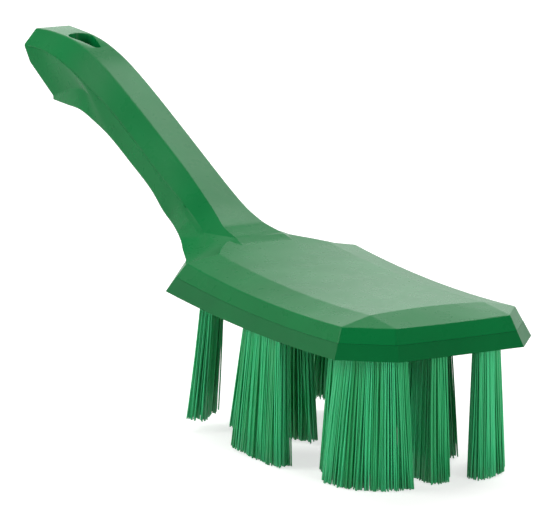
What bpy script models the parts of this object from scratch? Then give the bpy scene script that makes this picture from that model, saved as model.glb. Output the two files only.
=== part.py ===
"""A short-handled hand brush with fused bristle units, in metres.

X runs along the brush, from the end of the handle to the front of the block. Z is up.
The origin is halfway along the overall length, at the level of the lowest bristle tips.
"""

import math

import bmesh
import bpy
from mathutils import Vector

# Overall sizes
OVERALL_LENGTH = 0.2600
OVERALL_HEIGHT = 0.1115
BLOCK_LENGTH = 0.1339
BLOCK_WIDTH = 0.0740
UNDERSIDE_HEIGHT = 0.0423
WALL_HEIGHT = 0.0094

# Rocker curves: the block and the trimmed tips rise in an arc away from their lowest stations
BLOCK_LOW_REACH = 0.0440
TOP_ROCKER_RADIUS = 0.560
UNDERSIDE_ROCKER_RADIUS = 0.770
TRIM_LOW_REACH = 0.0360
TRIM_ROCKER_RADIUS = 0.680

# Block outline: cut corners at the foot and the top of the wall, and the wall's inward lean
FOOT_CUT_LENGTH = 0.0156
FOOT_CUT_WIDTH = 0.0136
TOP_CUT_LENGTH = 0.0135
TOP_CUT_WIDTH = 0.0113
SIDE_LEAN = 0.0043
FRONT_LEAN = 0.0051
REAR_LEAN = 0.0079
FRONT_BOW = 0.0012

# Bevel between the wall and the top plane, and the crown of that plane
BEVEL_RISE = 0.0024
SIDE_BEVEL_RUN = 0.0114
FRONT_BEVEL_RUN = 0.0147
REAR_BEVEL_RUN = 0.0152
TOP_CROWN = 0.0007

# Joint between the two mouldings of the block
JOINT_SHARE = 0.5
JOINT_GAP = 0.0003

# Handle facets
HANDLE_ROOT_REACH = 0.0350
GRIP_HALF_WIDTH = 0.0106
TOP_FACET_HALF_WIDTH = 0.0054
LOW_FACET_HALF_WIDTH = 0.0080
KEEL_HALF_WIDTH = 0.0052

# Hanging hole, a drop shape through the handle
HOLE_LENGTH = 0.0190
HOLE_WIDE_RADIUS = 0.0038
HOLE_NARROW_RADIUS = 0.0030
HOLE_END_MARGIN = 0.0135

# Bristle units: backing slice, strands, and how the strands fan out
BACKING_THICKNESS = 0.0030
POCKET_CLEARANCE = 0.0003
STRAND_PITCH = 0.00160
STRAND_GAP_SHARE = 0.18
TIP_SIZE_SHARE = 1.15
TIP_SPREAD_SHARE = 0.32
LEAN_REACH = 0.0680
LEAN_RADIUS = 0.540
SPLAY_RADIUS = 0.690
STANDING_CUT = 0.0005

# Bristle units in plan: reach is measured back from the block's front, offset from the middle
REAR_BAR_LENGTH = 0.0105
REAR_BAR_WIDTH = 0.0045
REAR_BAR_REACH = 0.1103
REAR_BAR_OFFSET_SHARE = 0.6378
REAR_BAR_TURN = math.radians(53)
SLANT_BAR_LENGTH = 0.0220
SLANT_BAR_WIDTH = 0.0046
SLANT_BAR_REACH = 0.0871
SLANT_BAR_OFFSET_SHARE = 0.3432
SLANT_BAR_TURN = math.radians(-32)
SIDE_BAR_LENGTH = 0.0220
SIDE_BAR_WIDTH = 0.0042
SIDE_BAR_REACH = 0.0670
SIDE_BAR_OFFSET_SHARE = 0.8054
CROSS_BAR_LENGTH = 0.0140
CROSS_BAR_WIDTH = 0.0052
CROSS_BAR_REACH = 0.0405
CROSS_BAR_OFFSET_SHARE = 0.3892
CORNER_WIDTH = 0.0038
CORNER_REACH = 0.0122
CORNER_OFFSET_SHARE = 0.7081
CORNER_RADIUS = 0.0120
CORNER_SIDE_ARM = 0.0048
CORNER_FRONT_ARM = 0.0008
FRONT_BAR_LENGTH = 0.0140
FRONT_BAR_WIDTH = 0.0058
FRONT_BAR_REACH = 0.0194
REAR_BLOCK_LENGTH = 0.0100
REAR_BLOCK_WIDTH = 0.0056
REAR_BLOCK_REACH = 0.1130

# Steps of the meshes
SIDE_STEPS = 14
END_STEPS = 4
RAIL_STEPS = 3
HOLE_STEPS = 10
OVERRUN = 0.0060
SHARP_ANGLE = math.radians(9)
MERGE = 0.00001

FRONT = OVERALL_LENGTH / 2
HALF_WIDTH = BLOCK_WIDTH / 2
HANDLE_END = -FRONT
REAR = FRONT - BLOCK_LENGTH
REAR_TOP = REAR + REAR_LEAN
REAR_PLANE = REAR_TOP + REAR_BEVEL_RUN
FRONT_TOP = FRONT - FRONT_LEAN
FRONT_PLANE = FRONT_TOP - FRONT_BEVEL_RUN
TOP_HALF_WIDTH = BLOCK_WIDTH / 2 - SIDE_LEAN
PLANE_HALF_WIDTH = TOP_HALF_WIDTH - SIDE_BEVEL_RUN

# Rails of the handle and neck, from the handle's end to inside the block. A row is the share
# of the reach, the share of the rise above the block's plane, and the share of the half width.
TOP_RAIL_SHARES = (
    (0.001, 0.996, 1.19),
    (0.056, 1.000, 1.04),
    (0.124, 0.987, 1.00),
    (0.186, 0.955, 1.00),
    (0.261, 0.888, 1.00),
    (0.348, 0.775, 1.00),
    (0.453, 0.620, 1.00),
    (0.552, 0.468, 1.00),
    (0.639, 0.334, 1.00),
    (0.720, 0.195, 1.09),
    (0.782, 0.111, 1.35),
    (0.850, 0.049, 1.89),
    (0.925, 0.012, 2.59),
    (0.999, -0.028, 2.69),
)
RIDGE_RAIL_SHARES = (
    (0.000, 0.893, 1.08),
    (0.062, 0.891, 1.01),
    (0.124, 0.869, 1.00),
    (0.186, 0.820, 1.00),
    (0.261, 0.744, 1.00),
    (0.360, 0.629, 1.00),
    (0.466, 0.474, 1.00),
    (0.571, 0.305, 1.00),
    (0.658, 0.184, 1.00),
    (0.739, 0.085, 1.03),
    (0.788, 0.041, 1.17),
    (0.844, 0.013, 1.56),
    (0.925, -0.011, 2.02),
    (0.999, -0.041, 2.08),
)
LOW_RAIL_SHARES = (
    (0.077, 0.556, 0.85),
    (0.149, 0.560, 1.02),
    (0.221, 0.556, 1.14),
    (0.284, 0.513, 1.15),
    (0.350, 0.444, 1.15),
    (0.437, 0.320, 1.15),
    (0.520, 0.193, 1.15),
    (0.574, 0.075, 1.15),
    (0.617, 0.013, 1.23),
    (0.683, -0.005, 1.75),
    (0.757, -0.020, 2.42),
    (0.832, -0.030, 3.20),
    (0.916, -0.048, 4.05),
    (0.999, -0.095, 4.00),
)
KEEL_RAIL_SHARES = (
    (0.071, 0.549, 0.85),
    (0.137, 0.545, 0.96),
    (0.199, 0.526, 1.00),
    (0.261, 0.474, 1.00),
    (0.326, 0.397, 1.00),
    (0.413, 0.272, 1.00),
    (0.497, 0.139, 1.00),
    (0.556, 0.023, 0.96),
    (0.615, -0.020, 0.88),
    (0.683, -0.047, 0.81),
    (0.757, -0.065, 0.85),
    (0.832, -0.076, 0.92),
    (0.916, -0.086, 0.96),
    (0.999, -0.095, 0.96),
)


def arc_rise(x, low_reach, radius):
    return (x - (FRONT - low_reach)) ** 2 / (2 * radius)


def underside_height(x):
    return UNDERSIDE_HEIGHT + arc_rise(x, BLOCK_LOW_REACH, UNDERSIDE_ROCKER_RADIUS)


def wall_top_height(x):
    return UNDERSIDE_HEIGHT + WALL_HEIGHT + arc_rise(x, BLOCK_LOW_REACH, TOP_ROCKER_RADIUS)


def plane_height(x):
    return wall_top_height(x) + BEVEL_RISE


def trimmed_height(x):
    """Height of a strand's tip: the trim's arc, cut level where the brush stands."""
    return max(0, arc_rise(x, TRIM_LOW_REACH, TRIM_ROCKER_RADIUS) - STANDING_CUT)


def clear_scene():
    for obj in list(bpy.data.objects):
        bpy.data.objects.remove(obj, do_unlink=True)


def new_collection(name, hidden=False):
    collection = bpy.data.collections.new(name)
    bpy.context.scene.collection.children.link(collection)
    collection.hide_render = hidden
    return collection


def moulded_plastic(name, colour, roughness):
    material = bpy.data.materials.new(name)
    material.use_nodes = True
    shader = material.node_tree.nodes["Principled BSDF"]
    shader.inputs["Base Color"].default_value = (*colour, 1)
    shader.inputs["Roughness"].default_value = roughness
    shader.inputs["Metallic"].default_value = 0
    return material


def mesh_object(name, bm, collection, material=None):
    """Cleans a bmesh and puts it into a new object of a collection."""
    bmesh.ops.remove_doubles(bm, verts=bm.verts, dist=MERGE)
    bmesh.ops.dissolve_degenerate(bm, edges=bm.edges, dist=MERGE)
    bmesh.ops.recalc_face_normals(bm, faces=bm.faces)
    mesh = bpy.data.meshes.new(name)
    bm.to_mesh(mesh)
    bm.free()
    mesh.shade_smooth()
    mesh.set_sharp_from_angle(angle=SHARP_ANGLE)
    if material:
        mesh.materials.append(material)
    obj = bpy.data.objects.new(name, mesh)
    collection.objects.link(obj)
    return obj


def helper_object(name, bm, collection):
    obj = mesh_object(name, bm, collection)
    obj.hide_render = True
    obj.display_type = "WIRE"
    return obj


def mirror_across_width(obj):
    mirror = obj.modifiers.new("Mirror across width", "MIRROR")
    mirror.use_axis = (False, True, False)
    mirror.merge_threshold = MERGE


def combine(obj, operation, other):
    modifier = obj.modifiers.new(other.name, "BOOLEAN")
    modifier.operation = operation
    modifier.solver = "EXACT"
    modifier.object = other


def loft(rows):
    """Joins rows of points, all of one length, with four-sided faces."""
    bm = bmesh.new()
    made = [[bm.verts.new(point) for point in row] for row in rows]
    for row, after in zip(made, made[1:]):
        for corners in zip(row, row[1:], after[1:], after):
            bm.faces.new(corners)
    return bm


def onto_centre_line(row):
    return [Vector((point.x, 0, point.z)) for point in row]


def half_outline(rear, front, half_width, cut_length, cut_width, bow=0):
    """Half of a cut-cornered rectangle in plan, from the rear centre round to the front centre."""
    half_end = half_width - cut_width
    points = [(rear, half_end * step / END_STEPS) for step in range(END_STEPS + 1)]
    side_start = rear + cut_length
    side_length = front - cut_length - side_start
    for step in range(SIDE_STEPS + 1):
        points.append((side_start + side_length * step / SIDE_STEPS, half_width))
    for step in range(END_STEPS + 1):
        across = 1 - step / END_STEPS
        points.append((front + bow * (1 - across**2), half_end * across))
    return points


def wall_ring(share):
    """The block's outline at a share of the wall's height."""
    foot = half_outline(REAR, FRONT, BLOCK_WIDTH / 2, FOOT_CUT_LENGTH, FOOT_CUT_WIDTH)
    top = half_outline(
        REAR_TOP, FRONT_TOP, TOP_HALF_WIDTH, TOP_CUT_LENGTH, TOP_CUT_WIDTH, FRONT_BOW
    )
    ring = []
    for (foot_x, foot_y), (top_x, top_y) in zip(foot, top):
        low = Vector((foot_x, foot_y, underside_height(foot_x)))
        high = Vector((top_x, top_y, wall_top_height(top_x)))
        ring.append(low.lerp(high, share))
    return ring


def inward_rows(ring):
    """Rows that close a ring, from the centre line outwards in the steps of its ends."""
    half_end = ring[END_STEPS].y
    rows = []
    for step in range(END_STEPS + 1):
        limit = half_end * step / END_STEPS
        rows.append([Vector((point.x, min(point.y, limit), point.z)) for point in ring])
    return rows


def crowned_plane_rows():
    """Rows of the block's top plane, from the centre line out to its edge."""
    rows = []
    for step in range(END_STEPS + 1):
        row = []
        for x, y in half_outline(REAR_PLANE, FRONT_PLANE, PLANE_HALF_WIDTH, 0, 0):
            across = min(y / PLANE_HALF_WIDTH, step / END_STEPS)
            height = plane_height(x) + TOP_CROWN * (1 - across**2)
            row.append(Vector((x, PLANE_HALF_WIDTH * across, height)))
        rows.append(row)
    return rows


def block_top(collection, material):
    joint = wall_ring(JOINT_SHARE + JOINT_GAP / WALL_HEIGHT)
    rows = [*crowned_plane_rows(), wall_ring(1), joint, *reversed(inward_rows(joint))]
    block = mesh_object("body_top", loft(rows), collection, material)
    mirror_across_width(block)
    return block


def lower_plate(collection, material):
    foot = wall_ring(0)
    joint = wall_ring(JOINT_SHARE)
    rows = [*inward_rows(joint), joint, foot, *reversed(inward_rows(foot))]
    plate = mesh_object("bristle_plate", loft(rows), collection, material)
    mirror_across_width(plate)
    return plate


def smooth_through(points):
    """Points on a curve that passes through the given ones, with even steps between them."""
    ends = [2 * points[0] - points[1], *points, 2 * points[-1] - points[-2]]
    curve = []
    for before, start, end, after in zip(ends, ends[1:], ends[2:], ends[3:]):
        for step in range(RAIL_STEPS):
            t = step / RAIL_STEPS
            bend = 2 * before - 5 * start + 4 * end - after
            twist = 3 * start - before - 3 * end + after
            curve.append(start + ((end - before) * t + bend * t**2 + twist * t**3) / 2)
    return [*curve, points[-1]]


def rail(shares, half_width):
    reach = REAR + HANDLE_ROOT_REACH - HANDLE_END
    base = plane_height(REAR_PLANE)
    rise = OVERALL_HEIGHT - base
    points = []
    for along, up, across in shares:
        points.append(Vector((HANDLE_END + reach * along, half_width * across, base + rise * up)))
    return smooth_through(points)


def handle(collection):
    top = rail(TOP_RAIL_SHARES, TOP_FACET_HALF_WIDTH)
    ridge = rail(RIDGE_RAIL_SHARES, GRIP_HALF_WIDTH)
    low = rail(LOW_RAIL_SHARES, LOW_FACET_HALF_WIDTH)
    keel = rail(KEEL_RAIL_SHARES, KEEL_HALF_WIDTH)
    rails = [onto_centre_line(top), top, ridge, low, keel, onto_centre_line(keel)]
    sections = list(zip(*rails))
    sections = [onto_centre_line(sections[0]), *sections, onto_centre_line(sections[-1])]
    solid = helper_object("handle_and_neck", loft(sections), collection)
    mirror_across_width(solid)
    return solid


def hole_outline():
    """The hanging hole in plan: a wide arc at the handle's end, a narrower one at the other."""
    wide_x = HANDLE_END + HOLE_END_MARGIN + HOLE_WIDE_RADIUS
    spacing = HOLE_LENGTH - HOLE_WIDE_RADIUS - HOLE_NARROW_RADIUS
    tangent = math.acos((HOLE_WIDE_RADIUS - HOLE_NARROW_RADIUS) / spacing)
    arcs = (
        (wide_x, HOLE_WIDE_RADIUS, tangent, 2 * math.pi - tangent),
        (wide_x + spacing, HOLE_NARROW_RADIUS, -tangent, tangent),
    )
    points = []
    for centre, radius, start, end in arcs:
        for step in range(HOLE_STEPS + 1):
            turn = start + (end - start) * step / HOLE_STEPS
            points.append((centre + radius * math.cos(turn), radius * math.sin(turn)))
    return points


def raise_faces(bm, faces, height):
    """Extrudes faces upwards into a closed solid."""
    raised = bmesh.ops.extrude_face_region(bm, geom=faces)["geom"]
    moved = [item for item in raised if isinstance(item, bmesh.types.BMVert)]
    bmesh.ops.translate(bm, verts=moved, vec=(0, 0, height))


def hanging_hole(collection):
    bottom = plane_height(REAR_PLANE) + OVERRUN
    bm = bmesh.new()
    floor = bm.faces.new([bm.verts.new((x, y, bottom)) for x, y in hole_outline()])
    raise_faces(bm, [floor], OVERALL_HEIGHT + OVERRUN - bottom)
    return helper_object("hanging_hole", bm, collection)


def straight_path(reach, offset, turn, length):
    """The middle line of a straight unit: place and direction at a share of its length."""
    middle = Vector((FRONT - reach, offset))
    forward = Vector((math.cos(turn), math.sin(turn)))

    def at(share):
        return middle + forward * length * (share - 1 / 2), turn

    return at, length


def corner_path(side):
    """The middle line of a front corner unit: along the side, round, then across the front."""
    bend = CORNER_RADIUS * math.pi / 2
    length = CORNER_SIDE_ARM + bend + CORNER_FRONT_ARM
    front_x = FRONT - CORNER_REACH

    def at(share):
        along = share * length - CORNER_SIDE_ARM
        turn = min(max(0, along / CORNER_RADIUS), math.pi / 2)
        x = front_x - CORNER_RADIUS * (1 - math.sin(turn)) + min(0, along)
        y = HALF_WIDTH * CORNER_OFFSET_SHARE - CORNER_RADIUS * (1 - math.cos(turn)) - max(0, along - bend)
        return Vector((x, side * y)), -side * turn

    return at, length


def plan_cells(bm, path, width, margin, drop):
    """Faces of a unit's plan on the underside's arc, widened by a margin and lowered by a drop."""
    at, length = path
    columns = round(length / STRAND_PITCH)
    rows = round(width / STRAND_PITCH)
    made = []
    for column in range(columns + 1):
        place, turn = at(column / columns)
        forward = Vector((math.cos(turn), math.sin(turn)))
        across = Vector((-forward.y, forward.x)) * (width / 2 + margin)
        if column == 0:
            place = place - forward * margin
        if column == columns:
            place = place + forward * margin
        line = [place + across * (2 * row / rows - 1) for row in range(rows + 1)]
        made.append([bm.verts.new((p.x, p.y, underside_height(p.x) - drop)) for p in line])
    cells = []
    for line, after in zip(made, made[1:]):
        for corners in zip(line, line[1:], after[1:], after):
            cells.append(bm.faces.new(corners))
    return cells


def pocket(name, path, width, collection):
    bm = bmesh.new()
    cells = plan_cells(bm, path, width, POCKET_CLEARANCE, OVERRUN)
    raise_faces(bm, cells, OVERRUN + BACKING_THICKNESS + POCKET_CLEARANCE)
    return helper_object("pocket_" + name, bm, collection)


def tip_place(root, middle):
    """Where the tip of a strand comes, from the place of its root and the unit's middle."""
    length = root.z
    lean = min(0, root.x - (FRONT - LEAN_REACH)) / LEAN_RADIUS * length
    splay = root.y / SPLAY_RADIUS * length
    fan = (root - middle) * TIP_SPREAD_SHARE
    x = root.x + lean + fan.x
    return Vector((x, root.y + splay + fan.y, trimmed_height(x)))


def bristle_unit(name, path, width, collection, material):
    """A backing slice with one strand drawn down from each of its cells."""
    bm = bmesh.new()
    cells = plan_cells(bm, path, width, 0, 0)
    raise_faces(bm, cells, BACKING_THICKNESS)
    middle = sum((cell.calc_center_median() for cell in cells), Vector()) / len(cells)
    bmesh.ops.inset_individual(bm, faces=cells, thickness=STRAND_PITCH * STRAND_GAP_SHARE / 2)
    tips = bmesh.ops.extrude_discrete_faces(bm, faces=cells)["faces"]
    for tip in tips:
        root = tip.calc_center_median()
        place = tip_place(root, middle)
        for vertex in tip.verts:
            offset = (vertex.co - root) * TIP_SIZE_SHARE
            vertex.co = place + Vector((offset.x, offset.y, 0))
    return mesh_object(name, bm, collection, material)


def unit_plans():
    """Name, middle line and width of every bristle unit."""
    plans = [
        ("tuft_front_middle", straight_path(FRONT_BAR_REACH, 0, 0, FRONT_BAR_LENGTH), FRONT_BAR_WIDTH),
        ("tuft_rear_middle", straight_path(REAR_BLOCK_REACH, 0, 0, REAR_BLOCK_LENGTH), REAR_BLOCK_WIDTH),
    ]
    for side, hand in ((-1, "near"), (1, "far")):
        rear = straight_path(
            REAR_BAR_REACH, side * HALF_WIDTH * REAR_BAR_OFFSET_SHARE, side * REAR_BAR_TURN, REAR_BAR_LENGTH
        )
        slant = straight_path(
            SLANT_BAR_REACH, side * HALF_WIDTH * SLANT_BAR_OFFSET_SHARE, side * SLANT_BAR_TURN, SLANT_BAR_LENGTH
        )
        along = straight_path(SIDE_BAR_REACH, side * HALF_WIDTH * SIDE_BAR_OFFSET_SHARE, 0, SIDE_BAR_LENGTH)
        cross = straight_path(
            CROSS_BAR_REACH, side * HALF_WIDTH * CROSS_BAR_OFFSET_SHARE, math.pi / 2, CROSS_BAR_LENGTH
        )
        plans += [
            ("tuft_rear_corner_" + hand, rear, REAR_BAR_WIDTH),
            ("tuft_slanted_" + hand, slant, SLANT_BAR_WIDTH),
            ("tuft_side_" + hand, along, SIDE_BAR_WIDTH),
            ("tuft_cross_" + hand, cross, CROSS_BAR_WIDTH),
            ("tuft_front_corner_" + hand, corner_path(side), CORNER_WIDTH),
        ]
    return plans


def main():
    clear_scene()
    brush = new_collection("hand_brush")
    helpers = new_collection("helpers", hidden=True)
    body_plastic = moulded_plastic("polypropylene_body", (0.016, 0.190, 0.070), 0.34)
    plate_plastic = moulded_plastic("polypropylene_plate", (0.018, 0.160, 0.062), 0.40)
    bristle_plastic = moulded_plastic("pbt_bristle", (0.020, 0.300, 0.110), 0.30)

    body = block_top(brush, body_plastic)
    combine(body, "UNION", handle(helpers))
    combine(body, "DIFFERENCE", hanging_hole(helpers))

    plate = lower_plate(brush, plate_plastic)
    for name, path, width in unit_plans():
        combine(plate, "DIFFERENCE", pocket(name, path, width, helpers))
        bristle_unit(name, path, width, brush, bristle_plastic)


main()
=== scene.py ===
import math
import random

import bmesh
import bpy
from mathutils import Matrix, Vector


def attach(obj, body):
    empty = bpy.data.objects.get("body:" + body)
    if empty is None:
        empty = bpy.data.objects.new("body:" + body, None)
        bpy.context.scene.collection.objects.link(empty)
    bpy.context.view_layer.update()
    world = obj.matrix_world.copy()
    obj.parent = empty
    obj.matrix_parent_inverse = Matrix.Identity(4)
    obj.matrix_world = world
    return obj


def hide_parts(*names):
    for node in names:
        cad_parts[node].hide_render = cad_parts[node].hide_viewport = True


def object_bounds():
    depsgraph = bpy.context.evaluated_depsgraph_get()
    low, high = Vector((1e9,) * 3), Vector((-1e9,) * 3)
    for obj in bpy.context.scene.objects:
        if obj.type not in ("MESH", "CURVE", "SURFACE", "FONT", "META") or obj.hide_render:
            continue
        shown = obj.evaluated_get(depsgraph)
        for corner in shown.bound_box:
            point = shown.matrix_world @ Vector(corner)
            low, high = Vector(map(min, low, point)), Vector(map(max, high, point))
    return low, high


# A hand brush moulded in green plastic: a bent handle, a chamfered block and twelve
# units of stiff filaments. The camera looks along the block from its front near corner.

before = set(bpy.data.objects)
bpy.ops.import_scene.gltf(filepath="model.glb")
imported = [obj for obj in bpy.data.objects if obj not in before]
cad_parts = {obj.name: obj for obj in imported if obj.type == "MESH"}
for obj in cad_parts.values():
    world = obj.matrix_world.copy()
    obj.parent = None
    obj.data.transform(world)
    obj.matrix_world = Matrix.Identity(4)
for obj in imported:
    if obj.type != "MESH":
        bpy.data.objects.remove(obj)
cad_low, cad_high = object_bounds()

# ---------------------------------------------------------------- sizes, metres
FRONT = cad_high.x
BLOCK_LOW_X = FRONT - 0.0440
UNDERSIDE_HEIGHT = 0.0423
UNDERSIDE_ROCKER_RADIUS = 0.770
TRIM_LOW_X = FRONT - 0.0360
TRIM_ROCKER_RADIUS = 0.680
STANDING_CUT = 0.0005
BACKING_THICKNESS = 0.0030

LEAN_X = FRONT - 0.0680
LEAN_RADIUS = 0.540
SPLAY_RADIUS = 0.690
TIP_SPREAD_SHARE = 0.32

# One filament is half a millimetre thick, and they stand almost touching, in rows that
# are staggered and so stand a little closer than the filaments in them.
FILAMENT_THICKNESS = 0.00050
FILAMENT_PITCH = 0.00056
ROW_PITCH_SHARE = 0.87
ROW_STARTS = (0.70, 0.30)
FILAMENT_SIDES = 5
FILAMENT_STEPS = 4
ROOT_DEPTH = 0.0006
PLACE_SCATTER = 0.00004
TIP_SCATTER = 0.00030
BOW_SCATTER = 0.00018
# Filaments gather in small locks, so that dark gaps open between them near the tips.
LOCK_PITCH = 0.0022
LOCK_PULL_SHARE = 0.20
LOCK_INSET_SHARE = 0.45
LOCK_SCATTER_SHARE = 0.2
LOCK_TONE_SHARE = 0.72
OWN_TONE_SHARE = 0.28
# The trimmed ends: how uneven, how many are cut clearly short, and the slant of each cut.
CUT_SCATTER = 0.00075
LONG_CUT_CHANCE = 0.06
LONG_CUT_SCATTER = 0.0017
TIP_SLANT = 0.0002

# The camera's side of the brush and the other one, as signs of Y.
NEAR, FAR = -1, 1
# Name of the CAD node, middle of the unit, its length, width and turn in degrees.
BARS = (
    ("tuft_front_middle", 0.1106, 0.0000, 0.0140, 0.0058, 0),
    ("tuft_rear_middle", 0.0170, 0.0000, 0.0100, 0.0056, 0),
    ("tuft_rear_corner_near", 0.0197, -0.0236, 0.0105, 0.0045, -53),
    ("tuft_rear_corner_far", 0.0197, 0.0236, 0.0105, 0.0045, 53),
    ("tuft_slanted_near", 0.0429, -0.0127, 0.0220, 0.0046, 32),
    ("tuft_slanted_far", 0.0429, 0.0127, 0.0220, 0.0046, -32),
    ("tuft_side_near", 0.0630, -0.0298, 0.0220, 0.0042, 0),
    ("tuft_side_far", 0.0630, 0.0298, 0.0220, 0.0042, 0),
    ("tuft_cross_near", 0.0895, -0.0144, 0.0140, 0.0052, 90),
    ("tuft_cross_far", 0.0895, 0.0144, 0.0140, 0.0052, 90),
)
CORNER_WIDTH = 0.0038
CORNER_X = FRONT - 0.0122
CORNER_OFFSET = 0.0262
CORNER_RADIUS = 0.0120
CORNER_SIDE_ARM = 0.0048
CORNER_FRONT_ARM = 0.0008
CORNER_STEPS = 40
FIRST_SEED = 11
BACKING_COLUMN_PITCH = 0.0015


# ---------------------------------------------------------------- camera
CAMERA_PLACE = Vector((1.3861, -0.8516, 0.3780))
CAMERA_AIM = Vector((0.0207, -0.0005, 0.0552))
CAMERA_ROLL = math.radians(0.63)
LENS_MM = 326.5


def place_camera():
    data = bpy.data.cameras.new("photo_camera")
    data.lens = LENS_MM
    data.sensor_width = 36
    data.clip_start = 0.05
    data.clip_end = 50
    camera = bpy.data.objects.new("photo_camera", data)
    bpy.context.collection.objects.link(camera)
    turn = (CAMERA_AIM - CAMERA_PLACE).to_track_quat("-Z", "Y").to_matrix()
    camera.matrix_world = Matrix.Translation(CAMERA_PLACE) @ (
        turn @ Matrix.Rotation(CAMERA_ROLL, 3, "Z")
    ).to_4x4()
    bpy.context.scene.camera = camera


# ---------------------------------------------------------------- light
# How far the floor is lifted to white for the camera, and how strongly the sky lights
# the brush.
FLOOR_LIFT = 0.68
SKY_LEVEL = 0.22
FLOOR_HALF_SIZE = 12
# Name, place, the point that it is turned to, width and height in metres, and watts.
LAMPS = (
    ("left_softbox", (-0.80, -1.35, 0.70), (0.02, 0, 0.05), 1.0, 1.0, 21),
    ("front_softbox", (1.70, 0.15, 0.40), (0.05, 0, 0.05), 0.7, 0.7, 12),
    ("rear_softbox", (-0.48, 0.86, 1.40), (-0.04, 0, 0.07), 0.85, 0.85, 14.5),
    ("top_softbox", (-0.70, -0.16, 1.42), (0, 0, 0.07), 0.45, 0.45, 6),
    ("low_softbox", (-2.00, 1.25, 0.70), (0.04, 0, 0.05), 1.9, 0.60, 4.2),
)


# ---------------------------------------------------------------- materials
def colour(code):
    """Linear colour of an sRGB hex code."""
    parts = [int(code[i:i + 2], 16) / 255 for i in (1, 3, 5)]
    return [c / 12.92 if c < 0.04045 else ((c + 0.055) / 1.055) ** 2.4 for c in parts] + [1]


def new_material(name):
    material = bpy.data.materials.new(name)
    material.use_nodes = True
    material.node_tree.nodes.clear()
    return material, material.node_tree


def add_node(tree, kind, inputs=None, **settings):
    """Adds a node with its settings; an input is a value or another node's output."""
    node = tree.nodes.new(kind)
    for name, value in settings.items():
        setattr(node, name, value)
    for key, value in (inputs or {}).items():
        if isinstance(value, bpy.types.NodeSocket):
            tree.links.new(value, node.inputs[key])
        else:
            node.inputs[key].default_value = value
    return node


POLISH_SPREAD = 0.012


def per_metre(millimetres):
    """Scale of a pattern whose features are this many millimetres apart."""
    return 1000 / millimetres


def moulded_polypropylene(name, pale, deep, roughness):
    """Injection-moulded polypropylene: an even satin green with a soft skin.

    The steel mould leaves a faint skin of shallow ripples, and the melt that cools at
    different speeds leaves broad, very weak changes of tone.
    """
    material, tree = new_material(name)
    where = add_node(tree, "ShaderNodeTexCoord").outputs["Object"]
    tone = add_node(tree, "ShaderNodeTexNoise", {
        "Vector": where, "Scale": per_metre(26), "Detail": 3, "Roughness": 0.5,
    })
    cloud = add_node(tree, "ShaderNodeMapRange", {
        "Value": tone.outputs["Fac"], "From Min": 0.30, "From Max": 0.70,
    })
    base = add_node(tree, "ShaderNodeMix", {
        0: cloud.outputs["Result"], 6: colour(deep), 7: colour(pale),
    }, data_type="RGBA")
    # Handling leaves a fine, uneven polish, about 4 mm across.
    polish = add_node(tree, "ShaderNodeTexNoise", {
        "Vector": where, "Scale": per_metre(4), "Detail": 2, "Roughness": 0.5,
    })
    gloss = add_node(tree, "ShaderNodeMapRange", {
        "Value": polish.outputs["Fac"], "From Min": 0.3, "From Max": 0.7,
        "To Min": roughness - POLISH_SPREAD, "To Max": roughness + POLISH_SPREAD,
    })
    skin = add_node(tree, "ShaderNodeTexNoise", {
        "Vector": where, "Scale": per_metre(1.2), "Detail": 2, "Roughness": 0.5,
    })
    ripple = add_node(tree, "ShaderNodeTexNoise", {
        "Vector": where, "Scale": per_metre(14), "Detail": 1,
    })
    broad = add_node(tree, "ShaderNodeBump", {
        "Height": ripple.outputs["Fac"], "Strength": 0.15, "Distance": 0.0008,
    })
    fine = add_node(tree, "ShaderNodeBump", {
        "Height": skin.outputs["Fac"], "Strength": 0.02, "Distance": 0.00004,
        "Normal": broad.outputs["Normal"],
    })
    shader = add_node(tree, "ShaderNodeBsdfPrincipled", {
        "Base Color": base.outputs[2],
        "Roughness": gloss.outputs["Result"],
        "IOR": 1.49,
        "Specular IOR Level": 0.07,
        "Normal": fine.outputs["Normal"],
    })
    add_node(tree, "ShaderNodeOutputMaterial", {"Surface": shader.outputs["BSDF"]})
    return material


def drawn_pbt_filament(name):
    """Drawn PBT monofilament: clean bright green, glossy along its length.

    Each filament has its own shade, kept on the mesh, so that the locks look combed
    and not painted.
    """
    material, tree = new_material(name)
    shade = add_node(tree, "ShaderNodeAttribute", attribute_name="filament_shade")
    base = add_node(tree, "ShaderNodeMix", {
        0: shade.outputs["Fac"], 6: colour("#109E52"), 7: colour("#44DA94"),
    }, data_type="RGBA")
    shader = add_node(tree, "ShaderNodeBsdfPrincipled", {
        "Base Color": base.outputs[2],
        "Roughness": 0.34,
        "IOR": 1.55,
        "Specular IOR Level": 0.35,
    })
    add_node(tree, "ShaderNodeOutputMaterial", {"Surface": shader.outputs["BSDF"]})
    return material


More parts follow.
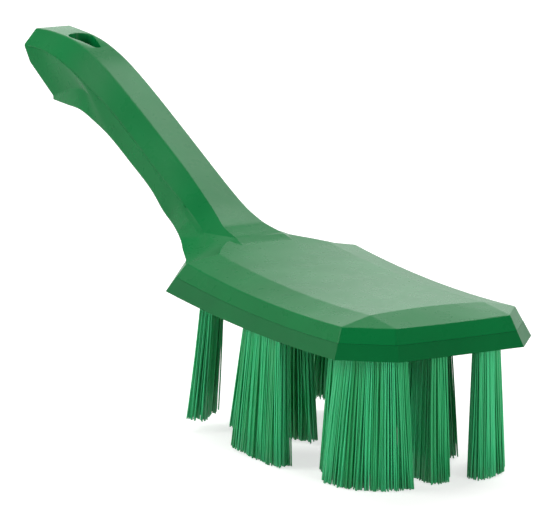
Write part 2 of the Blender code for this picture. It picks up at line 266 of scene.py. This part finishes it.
def pale_floor():
    """Matt white studio board; the camera sees it lifted to white, with its shadow."""
    material, tree = new_material("matt_studio_board")
    ray = add_node(tree, "ShaderNodeLightPath")
    mirrored = add_node(tree, "ShaderNodeMath", {
        0: ray.outputs["Is Glossy Ray"], 1: ray.outputs["Is Transmission Ray"],
    }, operation="MAXIMUM")
    lift = add_node(tree, "ShaderNodeMath", {
        0: ray.outputs["Is Camera Ray"], 1: FLOOR_LIFT,
    }, operation="MULTIPLY")
    matt = add_node(tree, "ShaderNodeBsdfDiffuse", {"Color": colour("#C6C6C4")})
    glow = add_node(tree, "ShaderNodeEmission", {
        "Color": (1, 1, 1, 1), "Strength": lift.outputs[0],
    })
    both = add_node(tree, "ShaderNodeAddShader", {
        0: matt.outputs[0], 1: glow.outputs[0],
    })
    # A glossy surface shows the board as plain white.
    white = add_node(tree, "ShaderNodeEmission", {"Color": (1, 1, 1, 1), "Strength": 1})
    shown = add_node(tree, "ShaderNodeMixShader", {
        0: mirrored.outputs[0], 1: both.outputs[0], 2: white.outputs[0],
    })
    add_node(tree, "ShaderNodeOutputMaterial", {"Surface": shown.outputs[0]})
    return material


# ---------------------------------------------------------------- studio
def as_object(name, bm):
    """Puts a built form into the scene as an object with a mesh of its own."""
    mesh = bpy.data.meshes.new(name)
    bm.to_mesh(mesh)
    bm.free()
    made = bpy.data.objects.new(name, mesh)
    bpy.context.collection.objects.link(made)
    return made


def studio_floor():
    bm = bmesh.new()
    bmesh.ops.create_grid(bm, x_segments=8, y_segments=8, size=FLOOR_HALF_SIZE)
    floor = as_object("studio_floor", bm)
    floor.data.materials.append(pale_floor())


def studio_sky():
    """Soft white surroundings: white where they are seen, a plain level as light."""
    world = bpy.data.worlds.new("studio_surroundings")
    bpy.context.scene.world = world
    world.use_nodes = True
    tree = world.node_tree
    tree.nodes.clear()
    ray = add_node(tree, "ShaderNodeLightPath")
    seen = add_node(tree, "ShaderNodeMath", {
        0: ray.outputs["Is Camera Ray"], 1: ray.outputs["Is Glossy Ray"],
    }, operation="MAXIMUM")
    seen = add_node(tree, "ShaderNodeMath", {
        0: seen.outputs[0], 1: ray.outputs["Is Transmission Ray"],
    }, operation="MAXIMUM")
    level = add_node(tree, "ShaderNodeMapRange", {
        "Value": seen.outputs[0], "To Min": SKY_LEVEL, "To Max": 1,
    })
    glow = add_node(tree, "ShaderNodeBackground", {
        "Color": (1, 1, 1, 1), "Strength": level.outputs["Result"],
    })
    add_node(tree, "ShaderNodeOutputWorld", {"Surface": glow.outputs[0]})


def soft_lamp(name, place, aim, width, height, power):
    data = bpy.data.lights.new(name, "AREA")
    data.shape = "RECTANGLE"
    data.size = width
    data.size_y = height
    data.energy = power
    lamp = bpy.data.objects.new(name, data)
    lamp.location = place
    turn = (Vector(aim) - Vector(place)).to_track_quat("-Z", "Y")
    lamp.rotation_mode = "QUATERNION"
    lamp.rotation_quaternion = turn
    bpy.context.collection.objects.link(lamp)


# ---------------------------------------------------------------- bristles
def arc_rise(x, low_x, radius):
    return (x - low_x) ** 2 / (2 * radius)


def underside_height(x):
    return UNDERSIDE_HEIGHT + arc_rise(x, BLOCK_LOW_X, UNDERSIDE_ROCKER_RADIUS)


def trimmed_height(x):
    return max(0, arc_rise(x, TRIM_LOW_X, TRIM_ROCKER_RADIUS) - STANDING_CUT)


def bar_line(x, y, length, turn):
    """A bar's middle line as points with directions."""
    forward = Vector((math.cos(turn), math.sin(turn)))
    middle = Vector((x, y))
    return [(middle + forward * length * (share - 0.5), forward) for share in (0, 0.5, 1)]


def corner_line(side):
    """A front corner unit's middle line: along the side, round and across the front."""
    bend = CORNER_RADIUS * math.pi / 2
    length = CORNER_SIDE_ARM + bend + CORNER_FRONT_ARM
    line = []
    for step in range(CORNER_STEPS + 1):
        along = length * step / CORNER_STEPS - CORNER_SIDE_ARM
        turn = min(max(0, along / CORNER_RADIUS), math.pi / 2)
        x = CORNER_X - CORNER_RADIUS * (1 - math.sin(turn)) + min(0, along)
        y = CORNER_OFFSET - CORNER_RADIUS * (1 - math.cos(turn)) - max(0, along - bend)
        forward = Vector((math.cos(turn), -side * math.sin(turn)))
        line.append((Vector((x, side * y)), forward))
    return line


def beside(line, offset):
    """The line moved sideways by an offset."""
    return [p + Vector((-f.y, f.x)) * offset for p, f in line]


def evenly_along(points, pitch, start_share):
    """Points a pitch apart on a bent line, the first a share of the pitch in."""
    spans = [(b - a).length for a, b in zip(points, points[1:])]
    total = sum(spans)
    count = max(2, round(total / pitch))
    wanted = [(k + start_share) / count * total for k in range(count)]
    made = []
    run = 0
    span = 0
    for distance in wanted:
        while span < len(spans) - 1 and run + spans[span] < distance:
            run += spans[span]
            span += 1
        share = (distance - run) / spans[span]
        made.append(points[span].lerp(points[span + 1], min(1, share)))
    return made


def spots_in(line, width, pitch, inset):
    """Places over a unit's plan in staggered rows."""
    rows = max(2, round((width - inset * 2) / (pitch * ROW_PITCH_SHARE)) + 1)
    spots = []
    for row in range(rows):
        offset = (width / 2 - inset) * (2 * row / (rows - 1) - 1)
        spots += evenly_along(beside(line, offset), pitch, ROW_STARTS[row % 2])
    return spots


def tip_place(root, middle):
    """Where a filament that starts at a root ends, before it is cut."""
    length = underside_height(root.x)
    lean = min(0, root.x - LEAN_X) / LEAN_RADIUS * length
    splay = root.y / SPLAY_RADIUS * length
    fan = (root - middle) * TIP_SPREAD_SHARE
    return Vector((root.x + lean + fan.x, root.y + splay + fan.y))


def filament_path(root, middle, lock, rng):
    """Points of one filament from inside its backing to its cut tip."""
    top = underside_height(root.x) + ROOT_DEPTH
    straight = tip_place(root, middle)
    gathered = tip_place(lock, middle)
    tip = straight.lerp(gathered, LOCK_PULL_SHARE)
    tip += Vector((rng.gauss(0, 1), rng.gauss(0, 1))) * TIP_SCATTER
    cut = rng.random() ** 2 * CUT_SCATTER
    if rng.random() < LONG_CUT_CHANCE:
        cut += rng.random() * LONG_CUT_SCATTER
    bottom = trimmed_height(tip.x) + cut
    bow = Vector((rng.gauss(0, 1), rng.gauss(0, 1))) * BOW_SCATTER
    path = []
    for step in range(FILAMENT_STEPS + 1):
        share = step / FILAMENT_STEPS
        flat = root.lerp(tip, share) + bow * math.sin(share * math.pi)
        path.append(Vector((flat.x, flat.y, top + (bottom - top) * share)))
    return path


def add_filament(vertices, faces, path, turn, slant):
    """A thin prism along the path, cut a little askew at its tip."""
    first = len(vertices)
    half = FILAMENT_THICKNESS / 2
    for place in path:
        for side in range(FILAMENT_SIDES):
            angle = turn + side * math.tau / FILAMENT_SIDES
            vertices.append(place + Vector((math.cos(angle), math.sin(angle), 0)) * half)
    for side in range(FILAMENT_SIDES):
        vertices[-1 - side].z += (side % 3) * slant
    for step in range(len(path) - 1):
        for side in range(FILAMENT_SIDES):
            after = (side + 1) % FILAMENT_SIDES
            low = first + step * FILAMENT_SIDES
            high = low + FILAMENT_SIDES
            faces.append((low + side, high + side, high + after, low + after))
    last = first + (len(path) - 1) * FILAMENT_SIDES
    faces.append(tuple(last + side for side in reversed(range(FILAMENT_SIDES))))


def backing_slice(name, line, width, material):
    """The slice that the unit's filaments are fused to, flush with the block."""
    bm = bmesh.new()
    columns = evenly_along([p for p, f in line], BACKING_COLUMN_PITCH, 0.5)
    points = [line[0][0], *columns, line[-1][0]]
    low, high = [], []
    for k, point in enumerate(points):
        ahead = points[min(k + 1, len(points) - 1)] - points[max(k - 1, 0)]
        across = Vector((-ahead.y, ahead.x)).normalized() * width / 2
        for share in (-1, 1):
            place = point + across * share
            height = underside_height(place.x)
            low.append(bm.verts.new((place.x, place.y, height)))
            high.append(bm.verts.new((place.x, place.y, height + BACKING_THICKNESS)))
    for k in range(len(points) - 1):
        a, b, c, d = 2 * k, 2 * k + 1, 2 * k + 3, 2 * k + 2
        bm.faces.new((low[a], low[b], low[c], low[d]))
        bm.faces.new((high[d], high[c], high[b], high[a]))
        bm.faces.new((low[a], low[d], high[d], high[a]))
        bm.faces.new((low[c], low[b], high[b], high[c]))
    bm.faces.new((low[0], high[0], high[1], low[1]))
    bm.faces.new((low[-1], high[-1], high[-2], low[-2]))
    bmesh.ops.recalc_face_normals(bm, faces=bm.faces)
    piece = as_object(name, bm)
    piece.data.materials.append(material)
    return piece


def filament_unit(node, line, width, filament, backing, seed):
    """One unit of filaments with its backing; both stand for the CAD node."""
    rng = random.Random(seed)
    inset = FILAMENT_THICKNESS / 2
    roots = spots_in(line, width, FILAMENT_PITCH, inset)
    locks = spots_in(line, width, LOCK_PITCH, LOCK_PITCH * LOCK_INSET_SHARE)
    locks = [
        p + Vector((rng.gauss(0, 1), rng.gauss(0, 1))) * LOCK_PITCH * LOCK_SCATTER_SHARE
        for p in locks
    ]
    tone_of_lock = [rng.random() for lock in locks]
    middle = sum(roots, Vector((0, 0))) / len(roots)
    vertices, faces, shades = [], [], []
    for spot in roots:
        root = spot + Vector((rng.gauss(0, 1), rng.gauss(0, 1))) * PLACE_SCATTER
        nearest = min(range(len(locks)), key=lambda k: (locks[k] - root).length)
        path = filament_path(root, middle, locks[nearest], rng)
        turn = rng.random() * math.tau
        add_filament(vertices, faces, path, turn, rng.random() * TIP_SLANT)
        shade = LOCK_TONE_SHARE * tone_of_lock[nearest] + OWN_TONE_SHARE * rng.random()
        shades += [shade] * (len(vertices) - len(shades))
    mesh = bpy.data.meshes.new(node + "_filaments")
    mesh.from_pydata([tuple(v) for v in vertices], [], faces)
    kept = mesh.attributes.new("filament_shade", "FLOAT", "POINT")
    kept.data.foreach_set("value", shades)
    mesh.polygons.foreach_set("use_smooth", [len(f) == 4 for f in faces])
    mesh.materials.append(filament)
    piece = bpy.data.objects.new(node + "_filaments", mesh)
    bpy.context.collection.objects.link(piece)
    slice_piece = backing_slice(node + "_backing", line, width, backing)
    for each in (piece, slice_piece):
        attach(each, "root")
        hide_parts(node)


def dress_bristles(filament, backing):
    seed = FIRST_SEED
    for node, x, y, length, width, turn in BARS:
        line = bar_line(x, y, length, math.radians(turn))
        filament_unit(node, line, width, filament, backing, seed)
        seed += 1
    for node, side in (("tuft_front_corner_near", NEAR), ("tuft_front_corner_far", FAR)):
        filament_unit(node, corner_line(side), CORNER_WIDTH, filament, backing, seed)
        seed += 1


# ---------------------------------------------------------------- body
MM = 0.001
EDGE_ROUNDING = 0.0006
ROUNDING_SEGMENTS = 3
HANDLE_EDGE_ROUNDING = 0.0009
# Only edges sharper than these angles are rounded.
SHAFT_LEAST_ANGLE = math.radians(12)
BLOCK_LEAST_ANGLE = math.radians(8)
HOLE_RIM_LEAST_ANGLE = math.radians(40)
PLATE_LEAST_ANGLE = math.radians(12)
ROUNDED_UNTIL = -0.010
ROUNDING_FADE = 0.020
SIDE_STEPS = 28
END_STEPS = 5
RAIL_STEPS = 6
MERGE = 0.00001
FLAT_ANGLE = math.radians(0.5)

# The block, in millimetres as it is in the CAD: its ends, and the wall that leans inward.
REAR = FRONT - 133.9 * MM
HALF_WIDTH = 37 * MM
FOOT_CUT = (15.6 * MM, 13.6 * MM)
REAR_LEAN = 7.9 * MM
FRONT_LEAN = 5.1 * MM
TOP_HALF_WIDTH = 32.7 * MM
TOP_CUT = (13.5 * MM, 11.3 * MM)
FRONT_BOW = 1.2 * MM
CUT_POINT_SHARE = 0.06
WALL_HEIGHT = 9.4 * MM
TOP_ROCKER_RADIUS = 0.560
JOINT_SHARE = 0.5
JOINT_GAP = 0.07 * MM
FACING_DOWN = -0.5
PLANE_HALF_WIDTH = 21.3 * MM
PLANE_REAR = REAR + 23.1 * MM
PLANE_FRONT = FRONT - 19.8 * MM
PLANE_CORNER_CUT = (0.9 * MM, 0.5 * MM)
BEVEL_RISE = 2.4 * MM
TOP_CROWN = 0.7 * MM
REAR_SINK = 2.2 * MM
CORNER_SINK = 0.9 * MM
STEP_RUN_SHARE = 0.07
STEP_FOOT = 0.2 * MM
# Rear edge of the block's top plane, from the centre line out to its corner: along, across.
# The first five lie on the rows of the plane's mesh, so that no edge there is very short.
PLANE_REAR_EDGE = ((7.5, 0), (7.5, 4.26), (7.9, 8.52), (9.6, 12.78), (13.5, 17.04), (16.8, 19.6))

# The handle in millimetres: along, half width and height, from its end to the block.
TOP_EDGE = (
    (-129.8, 6.8, 111.4), (-121, 5.6, 111.45), (-110, 5.4, 110.8), (-100, 5.4, 109.1),
    (-88, 5.4, 105.5), (-74, 5.4, 99.5), (-57, 5.4, 91.2), (-41, 5.4, 83.1),
    (-27, 5.4, 75.9), (-14, 5.8, 68.9), (-8, 6.4, 65.9), (-1.0, 7.7, 62.9),
    (3.5, 8.4, 61.8), (9.2, 9.0, 60.75), (13.6, 9.5, 59.6), (18, 9.6, 58.2), (31, 9, 55.0),
)
RIDGE = (
    (-130, 11.6, 105.8), (-120, 10.7, 105.7), (-110, 10.6, 104.5), (-100, 10.6, 101.9),
    (-88, 10.6, 97.8), (-72, 10.6, 91.7), (-55, 10.6, 83.4), (-38, 10.6, 74.4),
    (-24, 10.6, 67.9), (-13, 11.0, 63.2), (-5.5, 12.1, 60.1),
)
# The ridge ends where the handle meets its foot, and three lines go on from there.
VALLEY = (
    (-5.5, 12.1, 60.1), (0.5, 10.6, 60.2), (6.2, 9.4, 60.4), (9.8, 9.2, 60.5),
    (14.0, 10.6, 59.0), (18.4, 11.0, 57.6), (31, 10.4, 54.4),
)
FOOT_MIDDLE = (
    (-5.5, 12.1, 60.1), (-1, 13.0, 59.6), (4.5, 14.0, 59.2), (9.8, 13.6, 58.9),
    (14, 14.5, 57.6), (19, 15.0, 56.4), (30, 15.0, 54.2),
)
FOOT_EDGE = (
    (-5.5, 12.1, 60.1), (-2.2, 14.0, 58.7), (3.4, 17.0, 57.5), (8.4, 20.6, 56.7),
    (12.8, 25.8, 55.9), (17.0, 31.2, 55.0), (30, 29.0, 53.6),
)
LOW_EDGE = (
    (-117.6, 6.8, 87.8), (-104.4, 9.0, 88.2), (-92.2, 10.3, 88.3), (-82.0, 10.2, 85.5),
    (-71.6, 10.2, 81.9), (-58.0, 10.2, 75.4), (-44.5, 10.2, 68.6), (-36.0, 10.2, 62.4),
    (-29.6, 10.4, 59.0), (-20, 14, 57.8), (-14, 16.6, 57.4), (-8, 19.4, 56.9),
    (-2, 22.6, 56.4), (4, 25.6, 56.1), (11, 29, 55.6), (17.4, 32.0, 54.9), (31, 30, 53.4),
)
# The handle's end is cut back under its ridge; from there on the lower side is one plane.
END_CORNER = (-127.6, 10.6, 100.1)
FLANK = (
    (-117.3, 6.8, 89.0), (-108.2, 7.8, 92.0), (-97.7, 8.8, 94.8), (-90.3, 9.6, 95.4),
)
KEEL = (
    (-118.5, 4.4, 87.4), (-108, 5.0, 87.2), (-98, 5.2, 86.2), (-88, 5.2, 83.4),
    (-77.5, 5.2, 79.3), (-63.5, 5.2, 72.6), (-50, 5.2, 65.5), (-40.5, 5.0, 59.3),
    (-30.9, 4.6, 57.0), (-20, 4.4, 54.0), (-14, 5.0, 52.0), (-8, 6.0, 50.2),
    (-2, 7.0, 49.4), (4, 8, 49.2), (11, 8, 49.0), (17.6, 8, 48.8), (31, 8, 48.0),
)
# Beyond its end the flank lies this share of the way from the ridge to the lower edge,
# and the line above it this share of the way from the ridge to the flank.
FLANK_SHARE = 0.25
UPPER_SHARE = 0.5

# The hanging hole's two arcs, each as its place along the handle and its radius.
HOLE_WIDE = (-109.6 * MM, 4.4 * MM)
HOLE_NARROW = (-98.6 * MM, 1.4 * MM)
HOLE_RIM_ROUNDING = 0.0004
HOLE_CUT_HEIGHTS = (60 * MM, 130 * MM)
HOLE_ARC_STEPS = 16
# The bead of the mould's joint, and how many points of the ridge it leaves out at the
# handle's end and before the foot.
PARTING_BEAD = 0.22 * MM
PARTING_SKIP = (2, 10)


def wall_top_height(x):
    return UNDERSIDE_HEIGHT + WALL_HEIGHT + arc_rise(x, BLOCK_LOW_X, TOP_ROCKER_RADIUS)


def half_outline(rear, front, half_width, cut_length, cut_width, bow=0):
    """Half of the block's outline in plan, from the rear centre round to the front centre."""
    half_end = half_width - cut_width
    points = [Vector((rear, half_end * step / END_STEPS)) for step in range(END_STEPS + 1)]
    corner = Vector((rear + cut_length, half_width))
    points.append(corner.lerp(points[-1], CUT_POINT_SHARE))
    side_length = front - cut_length - corner.x
    for step in range(SIDE_STEPS + 1):
        points.append(Vector((corner.x + side_length * step / SIDE_STEPS, half_width)))
    for step in range(END_STEPS + 1):
        across = 1 - step / END_STEPS
        points.append(Vector((front + bow * (1 - across**2), half_end * across)))
    return points


def wall_ring(share):
    """The block's outline at a share of the wall's height."""
    foot = half_outline(REAR, FRONT, HALF_WIDTH, *FOOT_CUT)
    top = half_outline(
        REAR + REAR_LEAN, FRONT - FRONT_LEAN, TOP_HALF_WIDTH, *TOP_CUT, FRONT_BOW
    )
    ring = []
    for low, high in zip(foot, top):
        start = Vector((low.x, low.y, underside_height(low.x)))
        end = Vector((high.x, high.y, wall_top_height(high.x)))
        ring.append(start.lerp(end, share))
    return ring


def plane_ring():
    """The outline of the block's top plane, whose rear edge curves towards the neck."""
    flat = [Vector(point) * MM for point in PLANE_REAR_EDGE]
    back, aside = PLANE_CORNER_CUT
    flat.append(Vector((PLANE_REAR - back, PLANE_HALF_WIDTH - aside)))
    for step in range(SIDE_STEPS + 1):
        x = PLANE_REAR + (PLANE_FRONT - PLANE_REAR) * step / SIDE_STEPS
        flat.append(Vector((x, PLANE_HALF_WIDTH)))
    for step in range(END_STEPS + 1):
        flat.append(Vector((PLANE_FRONT, PLANE_HALF_WIDTH * (1 - step / END_STEPS))))
    return flat


def on_plane(point):
    across = point.y / PLANE_HALF_WIDTH
    height = wall_top_height(point.x) + BEVEL_RISE + TOP_CROWN * (1 - across**2)
    return Vector((point.x, point.y, height))


def inward(ring, step):
    """The ring drawn in towards the centre line, to a step of its end's width."""
    limit = max(point.y for point in ring[-END_STEPS - 1:]) * step / END_STEPS
    return [Vector((point.x, min(point.y, limit), *point[2:])) for point in ring]


def loft(rows):
    """Joins rows of points, all of one length, with four-sided faces."""
    bm = bmesh.new()
    made = [[bm.verts.new(point) for point in row] for row in rows]
    for row, after in zip(made, made[1:]):
        for corners in zip(row, row[1:], after[1:], after):
            bm.faces.new(corners)
    return bm


def mirrored_solid(name, bm):
    """Closes a half form across the brush's width."""
    half = bm.verts[:] + bm.edges[:] + bm.faces[:]
    bmesh.ops.mirror(bm, geom=half, matrix=Matrix.Identity(4), axis="Y", merge_dist=MERGE)
    bmesh.ops.remove_doubles(bm, verts=bm.verts, dist=MERGE)
    bmesh.ops.dissolve_degenerate(bm, edges=bm.edges, dist=MERGE)
    bmesh.ops.recalc_face_normals(bm, faces=bm.faces)
    piece = as_object(name, bm)
    piece.data.shade_smooth()
    return piece


def settle(piece):
    """Applies a piece's modifiers to its mesh."""
    graph = bpy.context.evaluated_depsgraph_get()
    mesh = bpy.data.meshes.new_from_object(
        piece.evaluated_get(graph), preserve_all_data_layers=True, depsgraph=graph
    )
    piece.modifiers.clear()
    piece.data = mesh


def round_edges(piece, width, least_angle):
    edge = piece.modifiers.new("rounded_edges", "BEVEL")
    edge.width = width
    edge.segments = ROUNDING_SEGMENTS
    edge.limit_method = "ANGLE"
    edge.angle_limit = least_angle
    edge.harden_normals = True


def block_top():
    """The block above the joint, with a step where the handle's foot comes out of it."""
    plane = plane_ring()
    top = wall_ring(1)
    for point in top[:END_STEPS + 1]:
        point.z -= REAR_SINK
    top[END_STEPS + 1].z -= CORNER_SINK
    edge = [on_plane(point) for point in plane]
    step_down = [point.lerp(beyond, STEP_RUN_SHARE) for point, beyond in zip(edge, top)]
    for point, beyond in zip(step_down[:END_STEPS + 2], top):
        point.z = beyond.z + STEP_FOOT
    joint = wall_ring(JOINT_SHARE + JOINT_GAP / WALL_HEIGHT)
    rows = [[on_plane(p) for p in inward(plane, step)] for step in range(END_STEPS)]
    rows += [edge, step_down, top, joint]
    rows += [inward(joint, step) for step in reversed(range(END_STEPS))]
    return mirrored_solid("block_top", loft(rows))


def smooth_through(points):
    """Points on a curve that passes through the given ones, in millimetres, as metres."""
    points = [Vector(point) * MM for point in points]
    ends = [2 * points[0] - points[1], *points, 2 * points[-1] - points[-2]]
    curve = []
    for before, start, end, after in zip(ends, ends[1:], ends[2:], ends[3:]):
        for step in range(RAIL_STEPS):
            t = step / RAIL_STEPS
            bend = 2 * before - 5 * start + 4 * end - after
            twist = 3 * start - before - 3 * end + after
            curve.append(start + ((end - before) * t + bend * t**2 + twist * t**3) / 2)
    return [*curve, points[-1]]


def onto_centre_line(row):
    return [Vector((point.x, 0, point.z)) for point in row]


def between(above, below, share):
    """A line of points a share of the way from one line down to another."""
    return [Vector(a).lerp(Vector(b), share) for a, b in zip(above, below)]


def handle_and_foot():
    """The handle, eight-sided beyond its cut-back end, bent down into its foot on the block."""
    shaft = smooth_through(RIDGE)[:-1]
    top = smooth_through(TOP_EDGE)
    low = smooth_through(LOW_EDGE)
    keel = smooth_through(KEEL)
    side = [*RIDGE[:-1], *FOOT_EDGE]
    flank = [*FLANK, *between(side, LOW_EDGE, FLANK_SHARE)[len(FLANK):]]
    upper = [END_CORNER, *between(side, flank, UPPER_SHARE)[1:]]
    rails = [onto_centre_line(top), top]
    rails += [shaft + smooth_through(line) for line in (VALLEY, FOOT_MIDDLE, FOOT_EDGE)]
    rails += [smooth_through(upper), smooth_through(flank)]
    rails += [low, keel, onto_centre_line(keel)]
    sections = list(zip(*rails))
    sections = [onto_centre_line(sections[0]), *sections, onto_centre_line(sections[-1])]
    return mirrored_solid("handle_and_foot", loft(sections))


def round_chosen_edges(piece, width, least_angle, share_of):
    """Rounds the sharp edges, each by its own share of the width; none leaves it sharp."""
    bm = bmesh.new()
    bm.from_mesh(piece.data)
    weight = bm.edges.layers.float.new("bevel_weight_edge")
    for edge in bm.edges:
        if edge.calc_face_angle(0) > least_angle:
            edge[weight] = share_of(edge)
            edge.smooth = edge[weight] > 0
    bm.to_mesh(piece.data)
    bm.free()
    round_edges(piece, width, 0)
    piece.modifiers[0].limit_method = "WEIGHT"


def shaft_share(edge):
    """The handle's edges are rounded less and less as they run into the narrow foot."""
    x = (edge.verts[0].co.x + edge.verts[1].co.x) / 2
    return min(1, max(0, (ROUNDED_UNTIL - x) / ROUNDING_FADE))


def block_share(edge):
    """The block's edges are rounded, apart from the one round the joint."""
    return min(face.normal.z for face in edge.link_faces) > FACING_DOWN


def parting_line(side):
    """The fine bead that the mould's two halves leave along the handle's widest line."""
    bm = bmesh.new()
    rings = []
    for p in smooth_through(RIDGE)[PARTING_SKIP[0]:-PARTING_SKIP[1]]:
        corners = ((0, -1), (1, 0), (0, 1), (-1, 0))
        rings.append([
            bm.verts.new((p.x, side * (p.y + PARTING_BEAD * y), p.z + PARTING_BEAD * z))
            for y, z in corners
        ])
    for ring, after in zip(rings, rings[1:]):
        for k in range(4):
            bm.faces.new((ring[k - 1], ring[k], after[k], after[k - 1]))
    bm.faces.new(rings[0])
    bm.faces.new(rings[-1])
    bmesh.ops.recalc_face_normals(bm, faces=bm.faces)
    piece = as_object("parting_line_near" if side == NEAR else "parting_line_far", bm)
    piece.data.shade_smooth()
    return piece


def hanging_hole():
    """The cutter of the hanging hole: a wide arc at the handle's end and a narrow one."""
    wide, wide_radius = HOLE_WIDE
    narrow, narrow_radius = HOLE_NARROW
    tangent = math.acos((wide_radius - narrow_radius) / (narrow - wide))
    arcs = (
        (wide, wide_radius, tangent, 2 * math.pi - tangent),
        (narrow, narrow_radius, -tangent, tangent),
    )
    bm = bmesh.new()
    rings = []
    for height in HOLE_CUT_HEIGHTS:
        ring = []
        for centre, radius, start, end in arcs:
            for step in range(HOLE_ARC_STEPS + 1):
                turn = start + (end - start) * step / HOLE_ARC_STEPS
                place = (centre + radius * math.cos(turn), radius * math.sin(turn), height)
                ring.append(bm.verts.new(place))
        bm.faces.new(ring)
        rings.append(ring)
    low, high = rings
    for k in range(len(low)):
        bm.faces.new((low[k - 1], low[k], high[k], high[k - 1]))
    bmesh.ops.recalc_face_normals(bm, faces=bm.faces)
    return as_object("hanging_hole", bm)


def dress_body(material):
    """The upper moulding, block and handle, stands for the CAD node with finer edges."""
    handle = handle_and_foot()
    round_chosen_edges(handle, HANDLE_EDGE_ROUNDING, SHAFT_LEAST_ANGLE, shaft_share)
    settle(handle)
    cutter = hanging_hole()
    cut = handle.modifiers.new("hanging_hole", "BOOLEAN")
    cut.operation = "DIFFERENCE"
    cut.solver = "EXACT"
    cut.object = cutter
    settle(handle)
    bpy.data.objects.remove(cutter)
    handle.data.shade_smooth()
    round_edges(handle, HOLE_RIM_ROUNDING, HOLE_RIM_LEAST_ANGLE)
    block = block_top()
    round_chosen_edges(block, EDGE_ROUNDING, BLOCK_LEAST_ANGLE, block_share)
    for piece in (handle, block, parting_line(NEAR), parting_line(FAR)):
        settle(piece)
        piece.data.materials.clear()
        piece.data.materials.append(material)
        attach(piece, "root")
        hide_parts("body_top")


def dress_plate(material):
    """The plate keeps its CAD shape, with its flat faces joined.

    The short edges of its pockets hold its rounding back to almost nothing. Letting it
    keep its full width tears the underside open beside the pockets.
    """
    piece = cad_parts["bristle_plate"]
    for slot in piece.material_slots:
        slot.material = material
    weld = piece.modifiers.new("join_faces", "WELD")
    weld.merge_threshold = MERGE
    flat = piece.modifiers.new("join_flat_faces", "DECIMATE")
    flat.decimate_type = "DISSOLVE"
    flat.angle_limit = FLAT_ANGLE
    round_edges(piece, EDGE_ROUNDING, PLATE_LEAST_ANGLE)


def main():
    bpy.context.scene.view_settings.view_transform = "Standard"
    place_camera()
    studio_floor()
    studio_sky()
    for lamp in LAMPS:
        soft_lamp(*lamp)
    body_plastic = moulded_polypropylene(
        "moulded_polypropylene_body", "#03753A", "#026D35", 0.28
    )
    plate_plastic = moulded_polypropylene(
        "moulded_polypropylene_plate", "#036A34", "#026230", 0.34
    )
    filament = drawn_pbt_filament("drawn_pbt_filament")
    dress_body(body_plastic)
    dress_plate(plate_plastic)
    dress_bristles(filament, plate_plastic)


main()
